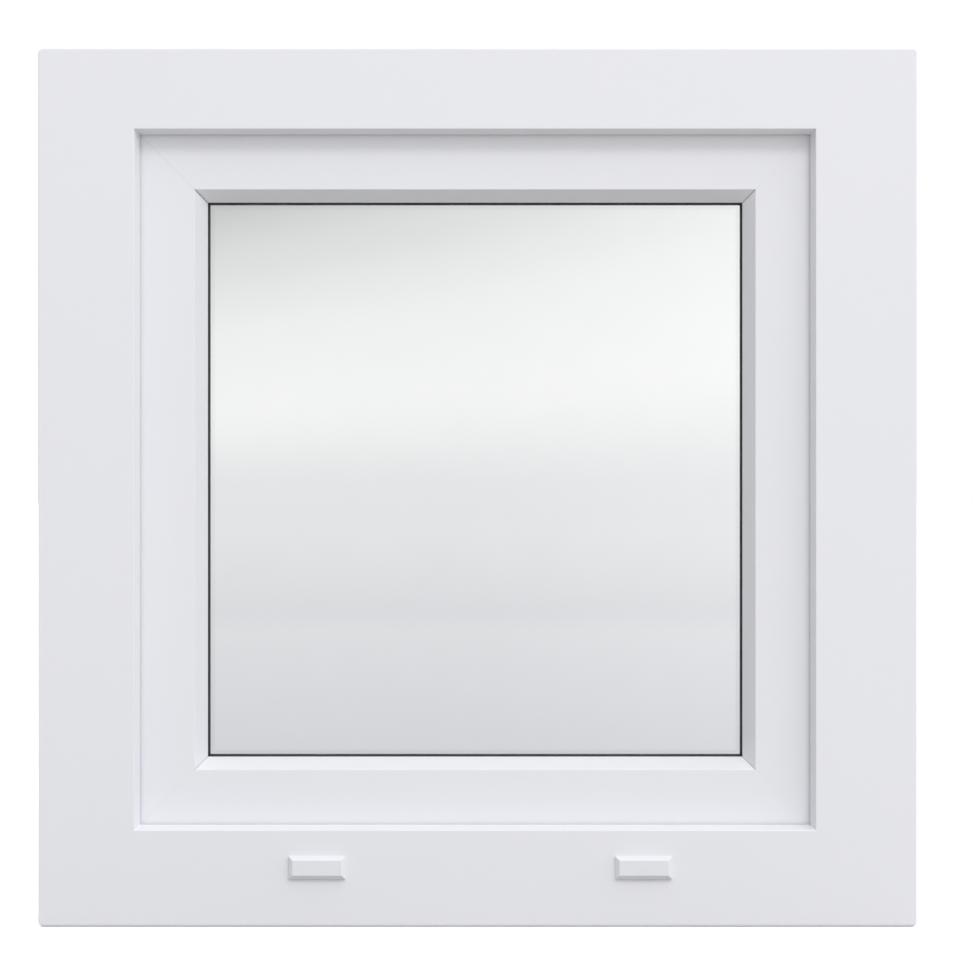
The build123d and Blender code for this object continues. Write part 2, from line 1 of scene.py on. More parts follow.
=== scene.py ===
import math
import bpy
import numpy as np
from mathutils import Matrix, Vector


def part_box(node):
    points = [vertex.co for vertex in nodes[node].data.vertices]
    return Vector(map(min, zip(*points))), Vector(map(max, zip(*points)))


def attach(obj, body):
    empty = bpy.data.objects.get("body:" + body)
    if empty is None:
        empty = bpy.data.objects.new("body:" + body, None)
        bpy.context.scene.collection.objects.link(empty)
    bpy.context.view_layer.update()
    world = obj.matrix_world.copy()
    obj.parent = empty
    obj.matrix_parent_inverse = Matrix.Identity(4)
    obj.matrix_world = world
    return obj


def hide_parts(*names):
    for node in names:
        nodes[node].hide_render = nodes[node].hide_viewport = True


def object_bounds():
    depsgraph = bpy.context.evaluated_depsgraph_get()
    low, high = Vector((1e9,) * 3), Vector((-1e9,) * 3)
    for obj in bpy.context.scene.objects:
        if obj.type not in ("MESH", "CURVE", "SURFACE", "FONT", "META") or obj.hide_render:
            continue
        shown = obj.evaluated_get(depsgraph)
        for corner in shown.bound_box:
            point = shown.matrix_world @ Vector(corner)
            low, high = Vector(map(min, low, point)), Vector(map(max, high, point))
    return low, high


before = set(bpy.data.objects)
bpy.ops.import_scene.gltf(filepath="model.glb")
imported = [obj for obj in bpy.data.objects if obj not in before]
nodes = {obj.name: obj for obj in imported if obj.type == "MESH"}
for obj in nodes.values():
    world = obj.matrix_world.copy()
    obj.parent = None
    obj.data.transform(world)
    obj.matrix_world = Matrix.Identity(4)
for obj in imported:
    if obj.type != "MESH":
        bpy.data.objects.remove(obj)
cad_low, cad_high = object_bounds()
MM = 0.001

# Outer frame: four lengths of white hollow profile, extruded from impact-resistant plastic,
# cut to mitres and welded at the corners. The skin is satin, with faint lines along each
# bar where it slid through the die and a slight ripple that only shows in the gloss.
WHITE = (0.828, 0.835, 0.880)
WHITE_WARM = (0.835, 0.838, 0.875)
PROFILE_GLOSS = (0.30, 0.38)


def new_material(name, base, roughness, ior=1.5, metallic=0.0):
    """An empty principled material with its uniform values set on the shader's own sockets."""
    material = bpy.data.materials.new(name)
    material.use_nodes = True
    shader = material.node_tree.nodes["Principled BSDF"]
    shader.inputs["Base Color"].default_value = (*base, 1.0)
    shader.inputs["Roughness"].default_value = roughness
    shader.inputs["IOR"].default_value = ior
    shader.inputs["Metallic"].default_value = metallic
    return material, material.node_tree, shader


def add_node(tree, kind, settings=None, **inputs):
    """Adds a shader node, with its settings by attribute and its unlinked inputs by name."""
    made = tree.nodes.new(kind)
    for name, value in (settings or {}).items():
        setattr(made, name, value)
    for name, value in inputs.items():
        made.inputs[name.replace("_", " ")].default_value = value
    return made


def object_pattern(tree, scale=(1.0, 1.0, 1.0), shift=(0.0, 0.0, 0.0)):
    """The piece's own coordinates in metres, stretched by a scale for each axis and shifted."""
    place = add_node(tree, "ShaderNodeTexCoord")
    stretch = add_node(tree, "ShaderNodeMapping", Scale=scale, Location=shift)
    tree.links.new(place.outputs["Object"], stretch.inputs["Vector"])
    return stretch.outputs["Vector"]


def noise(tree, vector, scale, detail=2.0, roughness=0.5):
    """A grey noise value between 0 and 1 that follows a vector."""
    made = add_node(tree, "ShaderNodeTexNoise", Scale=scale, Detail=detail, Roughness=roughness)
    tree.links.new(vector, made.inputs["Vector"])
    return made.outputs["Fac"]


def between(tree, value, low, high):
    """Maps a noise value, which stays near a half, to a range of numbers."""
    made = add_node(tree, "ShaderNodeMapRange", None, From_Min=0.3, From_Max=0.7, To_Min=low, To_Max=high)
    tree.links.new(value, made.inputs["Value"])
    return made.outputs["Result"]


def tinted(tree, value, low, high):
    """Mixes two close colours by a noise value."""
    made = add_node(tree, "ShaderNodeValToRGB")
    made.color_ramp.elements[0].position = 0.3
    made.color_ramp.elements[0].color = (*low, 1.0)
    made.color_ramp.elements[1].position = 0.7
    made.color_ramp.elements[1].color = (*high, 1.0)
    tree.links.new(value, made.inputs["Fac"])
    return made.outputs["Color"]


def raised(tree, value, height, onto=None):
    """A bump of a real height in metres, laid over an earlier one."""
    made = add_node(tree, "ShaderNodeBump", None, Strength=1.0, Distance=height)
    tree.links.new(value, made.inputs["Height"])
    if onto is not None:
        tree.links.new(onto, made.inputs["Normal"])
    return made.outputs["Normal"]


def extruded_plastic(name, along, shade=None):
    """Satin white plastic with die lines along one axis: noise stretched 400 times that way."""
    material, tree, shader = new_material(name, WHITE, PROFILE_GLOSS[0], ior=1.54)
    lines = [700.0, 700.0, 700.0]
    lines[along] = 1.8
    streaks = noise(tree, object_pattern(tree, tuple(lines)), 1.0, detail=1.0)
    ripple = noise(tree, object_pattern(tree), 900.0, detail=1.0)
    cloud = noise(tree, object_pattern(tree), 5.0, detail=3.0)
    scuffs = noise(tree, object_pattern(tree), 60.0, detail=4.0, roughness=0.7)
    skin = tinted(tree, cloud, WHITE, WHITE_WARM)
    skin = shade(tree, skin) if shade else skin
    tree.links.new(skin, shader.inputs["Base Color"])
    tree.links.new(between(tree, scuffs, *PROFILE_GLOSS), shader.inputs["Roughness"])
    normal = raised(tree, streaks, 0.0025 * MM)
    normal = raised(tree, ripple, 0.002 * MM, onto=normal)
    tree.links.new(normal, shader.inputs["Normal"])
    return material


def finish_node(name, material):
    """Gives a carried-over piece its material."""
    for slot in nodes[name].material_slots:
        slot.material = material


profile_across = extruded_plastic("white plastic, die lines across", 0)
profile_upright = extruded_plastic("white plastic, die lines upright", 2)
for name in ("frame_sill", "frame_head"):
    finish_node(name, profile_across)
for name in ("frame_left_jamb", "frame_right_jamb"):
    finish_node(name, profile_upright)

# Sash: the opening part, four lengths of a deeper profile of the same plastic, welded the
# same way. Its front shows a flat band and the slope that leads down to the glass. The weld
# lines are darkened, partly dirt and partly painted shade standing in for the shadow in the
# weld groove, most on the slopes and at the upper left corner.
# The seam colour and its weights below paint a dark line on the mitres: partly dirt, partly painted shade
# of the weld groove.
SEAM_DIRT_AND_SHADE = (0.20, 0.205, 0.215)
SEAM_HALF_WIDTH = 0.55 * MM
SEAM_DIRT_AND_SHADE_ON_FLAT = 0.16
SEAM_DIRT_AND_SHADE_IN_SLOPE = 0.85
SEAM_DIRT_AND_SHADE_INSIDE = 0.05
SEAM_DIRT_AND_SHADE_TO_CORNER = (-0.1, 0.35, 0.18, 1.0)
SEAM_DIRT_AND_SHADE_RAGGED = (0.3, 0.6, 0.35, 1.0)
SLOPE_START, SLOPE_END, SEAM_DEPTH_SPAN = 0.8 * MM, 12.0 * MM, 40.0 * MM

sash_left, sash_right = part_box("sash_left_stile")[0].x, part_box("sash_right_stile")[1].x
sash_foot, sash_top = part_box("sash_bottom_rail")[0].z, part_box("sash_top_rail")[1].z
sash_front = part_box("sash_bottom_rail")[0].y
sash_middle = ((sash_left + sash_right) / 2, sash_front, (sash_foot + sash_top) / 2)
sash_half_difference = ((sash_right - sash_left) - (sash_top - sash_foot)) / 2


def dotted(tree, vector, x=0.0, y=0.0, z=0.0, plus=0.0):
    """A plain slope across a vector: x, y and z times their weights, plus a constant."""
    made = add_node(tree, "ShaderNodeVectorMath", {"operation": "DOT_PRODUCT"})
    made.inputs[1].default_value = (x, y, z)
    tree.links.new(vector, made.inputs[0])
    total = add_node(tree, "ShaderNodeMath", {"operation": "ADD"})
    total.inputs[1].default_value = plus
    tree.links.new(made.outputs["Value"], total.inputs[0])
    return total.outputs["Value"]


def ranged(tree, value, from_low, from_high, to_low, to_high, smooth=False):
    """Carries one range of numbers over to another, and keeps to its ends."""
    made = add_node(
        tree,
        "ShaderNodeMapRange",
        {"interpolation_type": "SMOOTHSTEP" if smooth else "LINEAR"},
        From_Min=from_low,
        From_Max=from_high,
        To_Min=to_low,
        To_Max=to_high,
    )
    tree.links.new(value, made.inputs["Value"])
    return made.outputs["Result"]


def times(tree, *values):
    """Multiplies number sockets together."""
    product = values[0]
    for value in values[1:]:
        made = add_node(tree, "ShaderNodeMath", {"operation": "MULTIPLY"})
        tree.links.new(product, made.inputs[0])
        tree.links.new(value, made.inputs[1])
        product = made.outputs["Value"]
    return product


def seam_dirt_and_painted_shade(tree, skin):
    """Dirt and painted groove shade on the four mitre lines, where |x| - |z| from the middle equals its
    value at a corner.
    """
    place = object_pattern(tree, shift=tuple(-value for value in sash_middle))
    quarter = add_node(tree, "ShaderNodeVectorMath", {"operation": "ABSOLUTE"})
    tree.links.new(place, quarter.inputs[0])
    lean = math.sqrt(0.5)
    offset = dotted(tree, quarter.outputs["Vector"], x=lean, z=-lean, plus=-lean * sash_half_difference)
    distance = add_node(tree, "ShaderNodeMath", {"operation": "ABSOLUTE"})
    tree.links.new(offset, distance.inputs[0])
    line = ranged(tree, distance.outputs["Value"], 0.0, SEAM_HALF_WIDTH, 1.0, 0.0)
    depth = add_node(tree, "ShaderNodeValToRGB")
    levels = depth.color_ramp.elements
    levels[0].position = SLOPE_START / SEAM_DEPTH_SPAN
    levels[0].color = (*[SEAM_DIRT_AND_SHADE_ON_FLAT] * 3, 1.0)
    levels[1].position = (SLOPE_END + SLOPE_START) / SEAM_DEPTH_SPAN
    levels[1].color = (*[SEAM_DIRT_AND_SHADE_INSIDE] * 3, 1.0)
    for position in (2 * SLOPE_START, SLOPE_END):
        levels.new(position / SEAM_DEPTH_SPAN).color = (*[SEAM_DIRT_AND_SHADE_IN_SLOPE] * 3, 1.0)
    inwards = ranged(tree, dotted(tree, place, y=1.0), 0.0, SEAM_DEPTH_SPAN, 0.0, 1.0)
    tree.links.new(inwards, depth.inputs["Fac"])
    corner = ranged(tree, dotted(tree, place, x=-1.0, z=1.0), *SEAM_DIRT_AND_SHADE_TO_CORNER)
    ragged = ranged(tree, noise(tree, place, 330.0, detail=4.0), *SEAM_DIRT_AND_SHADE_RAGGED)
    # Painted shade: the dark seam line is mixed into the skin colour, partly for dirt and partly for the
    # groove's shadow.
    mixed = add_node(tree, "ShaderNodeMix", {"data_type": "RGBA"})
    tree.links.new(times(tree, line, depth.outputs["Color"], corner, ragged), mixed.inputs[0])
    tree.links.new(skin, mixed.inputs[6])
    mixed.inputs[7].default_value = (*SEAM_DIRT_AND_SHADE, 1.0)
    return mixed.outputs[2]


sash_across = extruded_plastic("white sash plastic, die lines across", 0, seam_dirt_and_painted_shade)
sash_upright = extruded_plastic("white sash plastic, die lines upright", 2, seam_dirt_and_painted_shade)
for name in ("sash_bottom_rail", "sash_top_rail"):
    finish_node(name, sash_across)
for name in ("sash_left_stile", "sash_right_stile"):
    finish_node(name, sash_upright)

# Glazing beads: thin extruded lengths, mitred and knocked into the sash from the room side,
# with a curved face towards the room.
for name in ("bead_bottom", "bead_top"):
    finish_node(name, profile_across)
for name in ("bead_left", "bead_right"):
    finish_node(name, profile_upright)

# Seals: black rubber with a dull, slightly dusty skin. One runs on the frame's lip, one on
# the sash's overlap, one outside the glass and one under the beads.
RUBBER = (0.010, 0.011, 0.016)
RUBBER_DUSTY = (0.020, 0.022, 0.028)


def black_rubber(name):
    """Dull black rubber with fine grain and a little dust in its colour."""
    material, tree, shader = new_material(name, RUBBER, 0.55, ior=1.52)
    dust = noise(tree, object_pattern(tree), 90.0, detail=4.0)
    grain = noise(tree, object_pattern(tree), 2500.0, detail=2.0)
    tree.links.new(tinted(tree, dust, RUBBER, RUBBER_DUSTY), shader.inputs["Base Color"])
    tree.links.new(between(tree, dust, 0.45, 0.65), shader.inputs["Roughness"])
    tree.links.new(raised(tree, grain, 0.01 * MM), shader.inputs["Normal"])
    return material


rubber = black_rubber("black seal rubber")
for name in ("frame_seal", "sash_seal", "glazing_gasket", "bead_gasket"):
    finish_node(name, rubber)

# Glass unit: two panes of clear float glass held apart by a hollow metal bar, with a dark
# sealant behind the bar and plastic blocks under the edges. The glass is almost free of
# colour and has a very slight roller wave.
GLASS, GLASS_CLEAREST = (0.972, 0.978, 0.976), (0.98, 0.985, 0.983)
SPACER, SPACER_BRIGHT = (0.62, 0.63, 0.64), (0.70, 0.71, 0.72)
BLOCK_BLUE, BLOCK_BLUE_PALE = (0.06, 0.14, 0.35), (0.07, 0.16, 0.4)


def float_glass(name):
    """Clear glass with a faint tint, a roller wave in its bump and a trace of dust in its gloss."""
    material, tree, shader = new_material(name, GLASS, 0.0, ior=1.5)
    shader.inputs["Transmission Weight"].default_value = 1.0
    wave = noise(tree, object_pattern(tree, (1.0, 1.0, 2.2)), 7.0, detail=0.0)
    dust = noise(tree, object_pattern(tree), 35.0, detail=3.0)
    tree.links.new(tinted(tree, dust, GLASS, GLASS_CLEAREST), shader.inputs["Base Color"])
    tree.links.new(between(tree, dust, 0.0, 0.012), shader.inputs["Roughness"])
    tree.links.new(raised(tree, wave, 0.004 * MM), shader.inputs["Normal"])
    return material


glass = float_glass("clear float glass")
for name in ("outer_pane", "inner_pane"):
    finish_node(name, glass)


def rolled_metal(name):
    """Bright rolled strip with fine lines from the rollers and cloudy gloss."""
    material, tree, shader = new_material(name, SPACER, 0.3, metallic=1.0)
    lines = noise(tree, object_pattern(tree, (1.0, 1600.0, 1.0)), 1.0, detail=1.0)
    cloud = noise(tree, object_pattern(tree), 40.0, detail=3.0)
    tree.links.new(tinted(tree, cloud, SPACER, SPACER_BRIGHT), shader.inputs["Base Color"])
    tree.links.new(between(tree, cloud, 0.25, 0.4), shader.inputs["Roughness"])
    tree.links.new(raised(tree, lines, 0.004 * MM), shader.inputs["Normal"])
    return material


finish_node("spacer_bar", rolled_metal("rolled spacer metal"))
finish_node("edge_sealant", black_rubber("dark edge sealant"))


def moulded_plastic(name, low, high, gloss):
    """Injection-moulded plastic: cloudy colour and a fine grain from the tool's surface."""
    material, tree, shader = new_material(name, low, gloss[0], ior=1.5)
    cloud = noise(tree, object_pattern(tree), 45.0, detail=3.0)
    grain = noise(tree, object_pattern(tree), 1800.0, detail=2.0)
    tree.links.new(tinted(tree, cloud, low, high), shader.inputs["Base Color"])
    tree.links.new(between(tree, cloud, *gloss), shader.inputs["Roughness"])
    tree.links.new(raised(tree, grain, 0.004 * MM), shader.inputs["Normal"])
    return material


blue_plastic = moulded_plastic("blue block plastic", BLOCK_BLUE, BLOCK_BLUE_PALE, (0.4, 0.55))
finish_node("glazing_blocks", blue_plastic)

# Drain caps: small moulded covers clipped over the drainage slots in the sill, open
# underneath so that water runs out and wind doesn't blow in.
CAP_WHITE, CAP_WHITE_WARM = (0.805, 0.815, 0.858), (0.815, 0.82, 0.856)
CAP_ROUNDING = 0.7 * MM


def soften(name, width, segments=3, sharpest=25.0):
    """Rounds the edges of a carried-over piece: its loose triangles are joined, then bevelled."""
    joined = nodes[name].modifiers.new("joined corners", "WELD")
    joined.merge_threshold = 0.002 * MM
    rounded = nodes[name].modifiers.new("rounded edges", "BEVEL")
    rounded.width = width
    rounded.segments = segments
    rounded.limit_method = "ANGLE"
    rounded.angle_limit = math.radians(sharpest)
    rounded.use_clamp_overlap = True


cap_plastic = moulded_plastic("white cap plastic", CAP_WHITE, CAP_WHITE_WARM, (0.32, 0.42))
for name in ("drain_cap_left", "drain_cap_right"):
    finish_node(name, cap_plastic)
    soften(name, CAP_ROUNDING)

# Handle: a die-cast lever on a rectangular base plate, both powder-coated white, fixed to
# the sash stile on the room side. The lever leaves the plate through a round collar, bends
# down through a quarter circle and swells into the grip.
COATING, COATING_WARM = (0.82, 0.828, 0.855), (0.828, 0.833, 0.853)
COLLAR_RADIUS = 9.0 * MM
COLLAR_LENGTH, COLLAR_SHOULDER = 7.0 * MM, 2.5 * MM
LEVER_BEND = 17.0 * MM
LEVER_NECK, LEVER_GRIP, LEVER_TIP = (16.0 * MM, 14.0 * MM), (19.8 * MM, 12.0 * MM), (15.0 * MM, 8.5 * MM)
LEVER_WIDEST = 0.45
LEVER_TIP_LENGTH = 4.5 * MM
LEVER_STATIONS, LEVER_TIP_STATIONS, LEVER_POINTS = 160, 24, 64
GRIP_SQUARENESS = 2.9
GRIP_SHARE_BEHIND_LINE = 0.52
ROSE_ROUNDING = 0.5 * MM


def powder_coat(name):
    """Baked white coating: a soft orange peel and slightly uneven gloss."""
    material, tree, shader = new_material(name, COATING, 0.3, ior=1.5)
    cloud = noise(tree, object_pattern(tree), 30.0, detail=3.0)
    peel = noise(tree, object_pattern(tree), 700.0, detail=1.0)
    tree.links.new(tinted(tree, cloud, COATING, COATING_WARM), shader.inputs["Base Color"])
    tree.links.new(between(tree, cloud, 0.22, 0.34), shader.inputs["Roughness"])
    tree.links.new(raised(tree, peel, 0.006 * MM), shader.inputs["Normal"])
    return material


def eased(share):
    """Smooth step from 0 to 1 of a share of a length: three of its square less two of its cube."""
    share = np.clip(share, 0.0, 1.0)
    return share * share * (3.0 - 2.0 * share)


def closed_skin(name, rings, material):
    """Piece whose skin joins closed rings of points one after the other, with a point at each end."""
    count, around, _ = rings.shape
    points = np.concatenate([rings.reshape(-1, 3), rings[:1].mean(axis=1), rings[-1:].mean(axis=1)])
    start, end = count * around, count * around + 1
    row = np.arange(around)
    after = (row + 1) % around
    first = (np.arange(count - 1) * around)[:, None]
    bands = np.stack([first + row, first + around + row, first + around + after, first + after], axis=-1)
    last = (count - 1) * around
    ends = [np.stack([np.full(around, start), row, after], axis=-1)]
    ends.append(np.stack([last + row, np.full(around, end), last + after], axis=-1))
    mesh = bpy.data.meshes.new(name)
    mesh.from_pydata(points.tolist(), [], bands.reshape(-1, 4).tolist() + np.concatenate(ends).tolist())
    mesh.polygons.foreach_set("use_smooth", np.ones(len(mesh.polygons), dtype=bool))
    mesh.materials.append(material)
    piece = bpy.data.objects.new(name, mesh)
    scene.collection.objects.link(piece)
    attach(piece, "root")
    return piece


def lever_rings():
    """A squared oval, |x / a| to the power e plus |n / b| to the power e equal to 1, on the lever's line.

    Its width 2a and thickness 2b ease from the collar's circle to the neck, the grip and the tip,
    and close over the last stretch as the root of one less the square of the way through it.
    """
    low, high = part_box("handle_lever")
    axis_x, axis_z = (low.x + high.x) / 2, high.z - COLLAR_RADIUS
    level = high.y - GRIP_SHARE_BEHIND_LINE * LEVER_GRIP[1]
    reach = level - LEVER_BEND - low.y
    turn = LEVER_BEND * math.pi / 2
    length = reach + turn + axis_z - LEVER_BEND - low.z
    tip_start = length - LEVER_TIP_LENGTH
    body = np.linspace(0.0, tip_start, LEVER_STATIONS)
    quarter = np.linspace(0.0, math.pi / 2, LEVER_TIP_STATIONS)[1:-1]
    dome = tip_start + LEVER_TIP_LENGTH * np.sin(quarter)
    way = np.concatenate([body, dome])
    angle = np.clip((way - reach) / LEVER_BEND, 0.0, math.pi / 2)
    line_y = low.y + np.minimum(way, reach) + LEVER_BEND * np.sin(angle)
    line_z = axis_z - LEVER_BEND * (1 - np.cos(angle)) - np.maximum(way - reach - turn, 0.0)
    swell = eased(way / length / LEVER_WIDEST)
    taper = eased((way / length - LEVER_WIDEST) / (1 - LEVER_WIDEST))
    neck = eased((way - COLLAR_LENGTH) / COLLAR_SHOULDER)
    close = np.sqrt(1 - (np.clip(way - tip_start, 0.0, None) / LEVER_TIP_LENGTH) ** 2)
    sizes = []
    for narrow, wide, end in zip(LEVER_NECK, LEVER_GRIP, LEVER_TIP):
        size = narrow + (wide - narrow) * swell + (end - wide) * taper
        sizes.append((COLLAR_RADIUS + (size / 2 - COLLAR_RADIUS) * neck) * close)
    power = (2.0 / (2.0 + (GRIP_SQUARENESS - 2.0) * neck))[:, None]
    round_it = np.linspace(0.0, 2 * math.pi, LEVER_POINTS, endpoint=False)[None, :]
    across = sizes[0][:, None] * np.sign(np.cos(round_it)) * np.abs(np.cos(round_it)) ** power
    through = sizes[1][:, None] * np.sign(np.sin(round_it)) * np.abs(np.sin(round_it)) ** power
    y = line_y[:, None] + through * np.sin(angle)[:, None]
    z = line_z[:, None] + through * np.cos(angle)[:, None]
    return np.stack([axis_x + across, y, z], axis=-1)


scene = bpy.context.scene
coating = powder_coat("white powder coating")
finish_node("handle_rose", coating)
soften("handle_rose", ROSE_ROUNDING)
lever = closed_skin("lever_skin", lever_rings(), coating)
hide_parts("handle_lever")

# Hinges: a bracket on the frame and a leaf on the sash share one capped pin, at the top and
# at the bottom of the stile away from the handle. Pan-head screws with a cross recess, in
# bright zinc-plated steel, hold them.
ZINC, ZINC_DULL = (0.60, 0.61, 0.62), (0.50, 0.51, 0.53)
SCREW_RADIUS, SCREW_HEAD = 3.3 * MM, 1.5 * MM
SCREW_RINGS, SCREW_POINTS, SCREW_CROWDING = 34, 96, 1.2
SCREW_TURN = 0.7
RECESS_HALF_LENGTH, RECESS_HALF_WIDTH, RECESS_DEPTH = 1.9 * MM, 0.42 * MM, 1.0 * MM
RECESS_EDGE = 0.14 * MM
LEAF_SCREWS = ((7.0 * MM, 7.0 * MM), (7.0 * MM, 37.0 * MM), (19.0 * MM, 22.0 * MM))
BRACKET_SCREWS = (9.0 * MM, 47.0 * MM)
BRACKET_SCREW_INSET = 5.0 * MM
PLATE_THICKNESS = 2.8 * MM
HINGE_ROUNDING = 0.3 * MM


def zinc_plate(name):
    """Zinc-plated steel: a bright metal, clouded in colour and gloss, with fine turning marks."""
    material, tree, shader = new_material(name, ZINC, 0.3, metallic=1.0)
    cloud = noise(tree, object_pattern(tree), 260.0, detail=3.0)
    marks = noise(tree, object_pattern(tree), 3500.0, detail=1.0)
    tree.links.new(tinted(tree, cloud, ZINC_DULL, ZINC), shader.inputs["Base Color"])
    tree.links.new(between(tree, cloud, 0.24, 0.42), shader.inputs["Roughness"])
    tree.links.new(raised(tree, marks, 0.004 * MM), shader.inputs["Normal"])
    return material


def screw_rings(x, y, z, turned):
    """Pan head on a plate at y: height is the fourth-power dome of the radius less a cross recess."""
    inwards = np.linspace(0.0, 1.0, SCREW_RINGS)[:-1] ** SCREW_CROWDING
    radius = SCREW_RADIUS * (1 - inwards)[:, None]
    angle = np.linspace(0.0, 2 * math.pi, SCREW_POINTS, endpoint=False)[None, :]
    across, up = radius * np.cos(angle - turned), radius * np.sin(angle - turned)
    long_way = eased((RECESS_HALF_LENGTH - np.abs(across)) / RECESS_EDGE)
    recess = long_way * eased((RECESS_HALF_WIDTH - np.abs(up)) / RECESS_EDGE)
    other_way = eased((RECESS_HALF_LENGTH - np.abs(up)) / RECESS_EDGE)
    recess = np.maximum(recess, other_way * eased((RECESS_HALF_WIDTH - np.abs(across)) / RECESS_EDGE))
    height = SCREW_HEAD * np.sqrt(1 - (radius / SCREW_RADIUS) ** 4) - RECESS_DEPTH * recess
    return np.stack([x + radius * np.cos(angle), y + height, z + radius * np.sin(angle)], axis=-1)


zinc = zinc_plate("zinc-plated screw steel")
for level in ("lower", "upper"):
    for piece in ("bracket", "leaf", "pin"):
        finish_node(f"{level}_hinge_{piece}", coating)
        soften(f"{level}_hinge_{piece}", HINGE_ROUNDING, segments=2, sharpest=35.0)
    low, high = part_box(f"{level}_hinge_leaf")
    spots = [(low.x + x, high.y, low.z + z) for x, z in LEAF_SCREWS]
    low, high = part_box(f"{level}_hinge_bracket")
    spots += [(high.x - BRACKET_SCREW_INSET, low.y + PLATE_THICKNESS, low.z + z) for z in BRACKET_SCREWS]
    for number, (x, y, z) in enumerate(spots):
        rings = screw_rings(x, y, z, SCREW_TURN * number)
        closed_skin(f"{level}_hinge_screw_{number}", rings, zinc)

# Studio: a pale floor and a white surround that is a little brighter above and to the
# right, and one soft lamp high on the right in front of the window. What shows through the
# glass is painted: a ramp of greys on the surround and on the floor running up to it, with
# painted shade darkest on the floor just behind the window and painted light towards the
# right. The floor shows the same painted ramp in gloss.
FLOOR_REACH = 60.0
FLOOR_GREY, FLOOR_MARKS = (0.440, 0.435, 0.415), (0.455, 0.45, 0.43)
FLOOR_SEEN = (1.0, 1.0, 1.0)
FLOOR_GLOW = 0.45
VIEWING_DISTANCE = 2.5
THROUGH_NEAR = (0.632, 0.634, 0.676)
THROUGH_FAR = (0.813, 0.813, 0.828)
THROUGH_UNDERFOOT = (0.90, 0.90, 0.91)
THROUGH_UNDERFOOT_DISTANCE = 2.6
THROUGH_NEAR_DISTANCE = 3.7
THROUGH_FAR_DISTANCE = 24.0
THROUGH_RIGHT = (-0.02, 0.11, 0.99, 1.06)

scene.view_settings.view_transform = "Standard"
floor_mesh = bpy.data.meshes.new("floor")
corners = [(x * FLOOR_REACH, y * FLOOR_REACH, 0.0) for x, y in ((-1, -1), (1, -1), (1, 1), (-1, 1))]
floor_mesh.from_pydata(corners, [], [(0, 1, 2, 3)])
floor = bpy.data.objects.new("floor", floor_mesh)
scene.collection.objects.link(floor)


def pale_floor(name):
    """Matt floor that keeps the object's shadow, white to the camera, and, through glass and in gloss, an
    emission ramp of painted shade and painted light.

    The ramp's place is the near distance over the distance from the point below the viewer.
    """
    material, tree, shader = new_material(name, FLOOR_GREY, 0.9)
    shader.inputs["Specular IOR Level"].default_value = 0.0
    path = add_node(tree, "ShaderNodeLightPath")
    marks = noise(tree, object_pattern(tree), 3.0, detail=3.0)
    matt = tinted(tree, marks, FLOOR_GREY, FLOOR_MARKS)
    shade = add_node(tree, "ShaderNodeMix", {"data_type": "RGBA"})
    tree.links.new(path.outputs["Is Camera Ray"], shade.inputs[0])
    tree.links.new(matt, shade.inputs[6])
    shade.inputs[7].default_value = (*FLOOR_SEEN, 1.0)
    tree.links.new(shade.outputs[2], shader.inputs["Base Color"])
    shader.inputs["Emission Color"].default_value = (1.0, 1.0, 1.0, 1.0)
    glow = add_node(tree, "ShaderNodeMath", {"operation": "MULTIPLY"})
    glow.inputs[1].default_value = FLOOR_GLOW
    tree.links.new(path.outputs["Is Camera Ray"], glow.inputs[0])
    tree.links.new(glow.outputs["Value"], shader.inputs["Emission Strength"])
    # Painted shade and light: through glass and in gloss the floor is this emission ramp, darkest just
    # behind the window and brighter to the right.
    from_viewer = object_pattern(tree, shift=(0.0, VIEWING_DISTANCE, 0.0))
    away = add_node(tree, "ShaderNodeVectorMath", {"operation": "LENGTH"})
    tree.links.new(from_viewer, away.inputs[0])
    span = add_node(tree, "ShaderNodeMath", {"operation": "DIVIDE"})
    span.inputs[0].default_value = THROUGH_UNDERFOOT_DISTANCE
    tree.links.new(away.outputs["Value"], span.inputs[1])
    beyond = add_node(tree, "ShaderNodeMath", {"operation": "MAXIMUM"})
    beyond.inputs[0].default_value = THROUGH_NEAR_DISTANCE
    tree.links.new(away.outputs["Value"], beyond.inputs[1])
    bearing = add_node(tree, "ShaderNodeMath", {"operation": "DIVIDE"})
    tree.links.new(dotted(tree, from_viewer, x=1.0), bearing.inputs[0])
    tree.links.new(beyond.outputs["Value"], bearing.inputs[1])
    ramp = add_node(tree, "ShaderNodeValToRGB")
    ramp.color_ramp.elements[0].position = THROUGH_UNDERFOOT_DISTANCE / THROUGH_FAR_DISTANCE
    ramp.color_ramp.elements[0].color = (*THROUGH_FAR, 1.0)
    ramp.color_ramp.elements[1].position = 1.0
    ramp.color_ramp.elements[1].color = (*THROUGH_UNDERFOOT, 1.0)
    near = ramp.color_ramp.elements.new(THROUGH_UNDERFOOT_DISTANCE / THROUGH_NEAR_DISTANCE)
    near.color = (*THROUGH_NEAR, 1.0)
    tree.links.new(span.outputs["Value"], ramp.inputs["Fac"])
    behind = add_node(tree, "ShaderNodeEmission")
    tree.links.new(ramp.outputs["Color"], behind.inputs["Color"])
    sideways = ranged(tree, bearing.outputs["Value"], *THROUGH_RIGHT, smooth=True)
    tree.links.new(sideways, behind.inputs["Strength"])
    mirrored = add_node(tree, "ShaderNodeMath", {"operation": "MAXIMUM"})
    tree.links.new(path.outputs["Is Transmission Ray"], mirrored.inputs[0])
    tree.links.new(path.outputs["Is Glossy Ray"], mirrored.inputs[1])
    either = add_node(tree, "ShaderNodeMixShader")
    tree.links.new(mirrored.outputs["Value"], either.inputs["Fac"])
    tree.links.new(shader.outputs["BSDF"], either.inputs[1])
    tree.links.new(behind.outputs["Emission"], either.inputs[2])
    tree.links.new(either.outputs["Shader"], tree.nodes["Material Output"].inputs["Surface"])
    return material


floor_mesh.materials.append(pale_floor("pale studio floor"))

